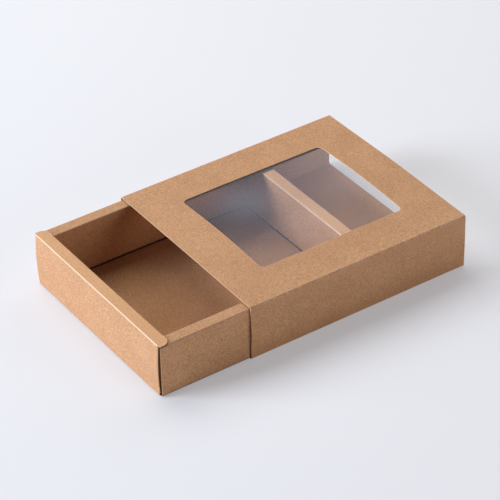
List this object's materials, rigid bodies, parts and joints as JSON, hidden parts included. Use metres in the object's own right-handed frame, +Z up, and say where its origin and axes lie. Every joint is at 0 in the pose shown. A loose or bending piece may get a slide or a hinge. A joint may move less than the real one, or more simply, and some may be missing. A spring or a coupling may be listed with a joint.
{
  "type": "sliding drawer gift box",
  "caption": "Folded kraft-board gift box: a drawer tray with hollow rolled walls slides through an open-ended sleeve whose rounded top window is closed by clear film.",
  "frame": {"origin": "centre of the sleeve's underside, on the surface that the box stands on", "axes": "+Z up; X across the width; Y along the slide, with the drawer's front facing -Y"},
  "size_m": [0.1509, 0.2364, 0.0428],
  "materials": {
    "kraft_board": "uncoated brown kraft board, matt, with short fibre specks",
    "clear_film": "clear glossy window film",
    "dried_glue": "thin dried white glue, slightly milky"
  },
  "bodies": {
    "sleeve": {"sleeve": "kraft_board", "sleeve_seam_glue": "dried_glue", "window_film": "clear_film", "window_film_glue": "dried_glue"},
    "drawer": {"drawer_tray": "kraft_board"}
  },
  "joints": [
    {"name": "drawer_slide", "type": "slide", "parent": "sleeve", "child": "drawer", "axis": [0, -1, 0], "range_m": [-0.0675, 0.1024]}
  ]
}
